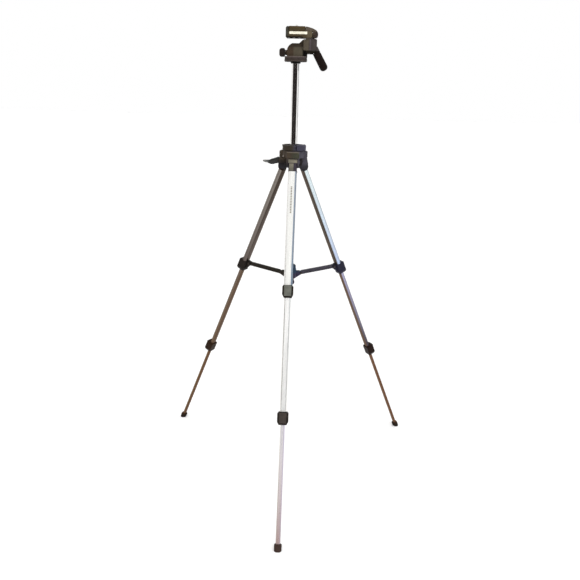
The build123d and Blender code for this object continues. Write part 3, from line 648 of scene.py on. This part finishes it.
def foot_band(leg, hang):
    """Rounded band round the rubber foot."""
    bm = bmesh.new()
    verts = bmesh.ops.create_cube(bm, size=1.0)["verts"]
    bmesh.ops.scale(bm, vec=FOOT_BAND_SIZE, verts=verts)
    corners = [e for e in bm.edges if abs(e.verts[0].co.z - e.verts[1].co.z) > 1]
    bmesh.ops.bevel(bm, geom=corners, offset=FOOT_BAND_CORNER, segments=7, profile=0.5, affect="EDGES",
                    material=-1)
    rims = [e for e in bm.edges if abs(e.verts[0].co.z - e.verts[1].co.z) < 0.1]
    bmesh.ops.bevel(bm, geom=rims, offset=FOOT_BAND_RIM, segments=2, profile=0.5, affect="EDGES", material=-1)
    floor_z = -PIVOT_Z / cos(radians(LEAN))
    bmesh.ops.transform(bm, matrix=hang @ Matrix.Translation((0, 0, floor_z + FOOT_BAND_UP)), verts=bm.verts)
    add_piece(f"{leg}_foot_band", bm, f"{leg}_lower", "foot_rubber", foot_rubbers.get(leg))


def hinge_highlight_panel(leg, hang):
    """Curved bar across the hinge, and the stem below it, in a light tone that is a painted highlight."""
    bm = bmesh.new()
    bar = bmesh.ops.create_grid(bm, x_segments=1, y_segments=1, size=0.5)["verts"]
    bmesh.ops.scale(bm, vec=HINGE_BAR_SIZE, verts=bar)
    bmesh.ops.translate(bm, vec=(0, -HINGE_BAR_R, 0), verts=bar)
    bmesh.ops.rotate(bm, matrix=Matrix.Rotation(radians(-HINGE_BAR_HALF), 3, "X"), verts=bar)
    bmesh.ops.spin(bm, geom=bm.faces[:], axis=(1, 0, 0), cent=(0, 0, 0), dvec=(0, 0, 0),
                   angle=radians(2 * HINGE_BAR_HALF), steps=8)
    bmesh.ops.holes_fill(bm, edges=[e for e in bm.edges if e.is_boundary], sides=4)
    block(bm, HINGE_STEM_PLACE, HINGE_STEM_SIZE, bevel=0.3)
    bmesh.ops.transform(bm, matrix=hang, verts=bm.verts)
    add_piece(f"{leg}_hinge_highlight_panel", bm, leg, "spider_plastic", panel_plastic)


def leg_pieces(leg, angle):
    hang = on_leg(angle)
    lever_face(leg, "upper", UPPER_CLAMP_Z, hang)
    lever_face(leg, "lower", LOWER_CLAMP_Z[leg], hang)

    bm = bmesh.new()
    pin_ends(bm, BRACE_PIN_X, BRACKET_Y, BRACKET_Z, BRACE_PIN_HEAD, hang)
    add_piece(f"{leg}_brace_pin_heads", bm, leg, "pin_steel")

    foot_band(leg, hang)
    hinge_highlight_panel(leg, hang)


def brace_hub_pin_heads():
    bm = bmesh.new()
    for angle in LEGS.values():
        pin_ends(bm, BRACE_PIN_X, -HUB_R, HUB_Z, BRACE_PIN_HEAD, on_axis(angle))
    add_piece("brace_hub_pin_heads", bm, "hub", "pin_steel")


def scale_ticks():
    """Plain ticks down the front leg."""
    bm = bmesh.new()
    for i in range(TICK_COUNT):
        place = (TICK_X, TICK_Y, TICK_START - TICK_PITCH * i)
        block(bm, place, TICK_SIZE, place=on_leg(LEGS["front_leg"]))
    add_piece("front_leg_scale_ticks", bm, "front_leg", "leg_upper_aluminium", tick_paint)


platform_strip()
pad_ribs()
platform_end_cheeks()
plate_corners()
camera_screw()
pan_flange_edge()
tilt_block_ridge()
spider_pieces()
column_lever_ridges()
for leg, angle in LEGS.items():
    leg_pieces(leg, angle)
brace_hub_pin_heads()
scale_ticks()


# Stage, in metres

AMBIENT = 0.4
FLOOR_HALF, FLOOR_WHITE, FLOOR_GLOW = 20, 0.9, 0.18
CARD_RING_R, CARD_RING_Y, CARD_LOW, CARD_HIGH = 2.2, 0.1, 0.68, 1.26
LENS, SENSOR = 38.855, 36
CAMERA_PLACE = (0.05725, -1.5687, 1.0910)
CAMERA_TURN, CAMERA_PITCH, CAMERA_ROLL = 1.96, 18.34, 1.44


def lamp(name, kind, place, aim, power, colour=(1, 1, 1), size=None, spread=None):
    """A light that brightens surfaces but isn't itself mirrored in the polished ones."""
    data = bpy.data.lights.new(name, kind)
    data.energy = power
    data.color = colour
    if size:
        data.shape = "RECTANGLE"
        data.size, data.size_y = size
    if spread:
        data.angle = radians(spread)
    light = bpy.data.objects.new(name, data)
    scene.collection.objects.link(light)
    light.visible_glossy = False
    light.location = place
    light.rotation_euler = (Vector(aim) - Vector(place)).to_track_quat("-Z", "Y").to_euler()


def sheet_of(name, material, start, along, across):
    """A flat piece of the stage, from one corner along two edges."""
    bm = bmesh.new()
    bmesh.ops.create_grid(bm, x_segments=1, y_segments=1, size=0.5)
    for v in bm.verts:
        v.co = Vector(start) + (v.co.x + 0.5) * Vector(along) + (v.co.y + 0.5) * Vector(across)
    mesh = bpy.data.meshes.new(name)
    bm.to_mesh(mesh)
    bm.free()
    mesh.materials.append(material)
    sheet = bpy.data.objects.new(name, mesh)
    scene.collection.objects.link(sheet)
    return sheet


def seen_directly(tree):
    """1 for what the camera sees, itself or in a polished or clear surface, else 0."""
    path = tree.nodes.new("ShaderNodeLightPath")
    total = path.outputs["Is Camera Ray"]
    for key in ("Is Glossy Ray", "Is Transmission Ray"):
        node = tree.nodes.new("ShaderNodeMath")
        node.operation = "MAXIMUM"
        tree.links.new(total, node.inputs[0])
        tree.links.new(path.outputs[key], node.inputs[1])
        total = node.outputs[0]
    return total


def white_room():
    """A white background, of which only the ambient share lights the tripod."""
    world = bpy.data.worlds.new("studio")
    scene.world = world
    world.use_nodes = True
    tree = world.node_tree
    tree.nodes.clear()
    mixer = tree.nodes.new("ShaderNodeMixShader")
    out = tree.nodes.new("ShaderNodeOutputWorld")
    for i, strength in ((1, AMBIENT), (2, 1.0)):
        sky = tree.nodes.new("ShaderNodeBackground")
        sky.inputs["Color"].default_value = (1, 1, 1, 1)
        sky.inputs["Strength"].default_value = strength
        tree.links.new(sky.outputs[0], mixer.inputs[i])
    tree.links.new(seen_directly(tree), mixer.inputs[0])
    tree.links.new(mixer.outputs[0], out.inputs["Surface"])


def lamps():
    lamp("front_softbox", "SUN", (0.1, -2.7, 2.1), (0, 0, 0.5), 1.4, (1, 0.985, 0.95), spread=62)
    lamp("top_softbox", "SUN", (0.4, 0.2, 3), (0, 0, 0), 1.1, spread=70)
    lamp("right_panel", "AREA", (1.9, -1.1, 0.6), (0, 0.1, 0.6), 16, (0.8, 0.88, 1), size=(1.2, 1.1))
    lamp("left_panel", "AREA", (-2.0, -0.8, 1.0), (0, 0.1, 0.8), 7, (1, 0.86, 0.72), size=(0.8, 1.0))


def floor():
    """White paper that takes the shadows, lifted a little where it is seen directly."""
    paper = bpy.data.materials.new("floor_paper")
    paper.use_nodes = True
    tree = paper.node_tree
    tree.nodes.clear()
    coat = tree.nodes.new("ShaderNodeBsdfDiffuse")
    coat.inputs["Color"].default_value = (FLOOR_WHITE, FLOOR_WHITE, FLOOR_WHITE, 1)
    glow = tree.nodes.new("ShaderNodeEmission")
    share = tree.nodes.new("ShaderNodeMath")
    share.operation = "MULTIPLY"
    share.inputs[1].default_value = FLOOR_GLOW
    both = tree.nodes.new("ShaderNodeAddShader")
    out = tree.nodes.new("ShaderNodeOutputMaterial")
    tree.links.new(seen_directly(tree), share.inputs[0])
    tree.links.new(share.outputs[0], glow.inputs["Strength"])
    tree.links.new(coat.outputs[0], both.inputs[0])
    tree.links.new(glow.outputs[0], both.inputs[1])
    tree.links.new(both.outputs[0], out.inputs["Surface"])
    side = 2 * FLOOR_HALF
    sheet_of("floor", paper, (-FLOOR_HALF, -FLOOR_HALF, 0), (side, 0, 0), (0, side, 0))


def card_wall(name, rgb, start, end, count):
    """Upright cards in a ring round the tripod, seen only in its polished surfaces.
    Angles are measured from the camera's side, positive to the right."""
    card = bpy.data.materials.new(name)
    card.use_nodes = True
    paint = card.node_tree.nodes["Principled BSDF"]
    paint.inputs["Base Color"].default_value = linear(rgb)
    paint.inputs["Roughness"].default_value = 0.9
    turns = [radians(start + (end - start) * i / count) for i in range(count + 1)]
    feet = [Vector((CARD_RING_R * sin(a), CARD_RING_Y - CARD_RING_R * cos(a), CARD_LOW)) for a in turns]
    for i, (near, far) in enumerate(zip(feet, feet[1:])):
        sheet = sheet_of(f"{name}_{i}", card, near, far - near, (0, 0, CARD_HIGH - CARD_LOW))
        sheet.visible_camera = False
        sheet.visible_diffuse = False
        sheet.visible_shadow = False


def camera():
    data = bpy.data.cameras.new("camera")
    data.lens = LENS
    data.sensor_width = SENSOR
    lens = bpy.data.objects.new("camera", data)
    scene.collection.objects.link(lens)
    turn, pitch, roll = (radians(angle) for angle in (CAMERA_TURN, CAMERA_PITCH, CAMERA_ROLL))
    right = Vector((cos(turn), sin(turn), 0))
    ahead = Vector((-sin(turn) * cos(pitch), cos(turn) * cos(pitch), -sin(pitch)))
    up = Vector((-sin(turn) * sin(pitch), cos(turn) * sin(pitch), cos(pitch)))
    x = cos(roll) * right + sin(roll) * up
    y = cos(roll) * up - sin(roll) * right
    aimed = Matrix((x, y, -ahead)).transposed().to_4x4()
    lens.matrix_world = Matrix.Translation(CAMERA_PLACE) @ aimed
    scene.camera = lens


white_room()
lamps()
floor()
card_wall("dark_card", (34, 27, 26), start=-78, end=60, count=7)
card_wall("grey_card", (150, 154, 160), start=104, end=130, count=3)
camera()
scene.view_settings.view_transform = "Standard"
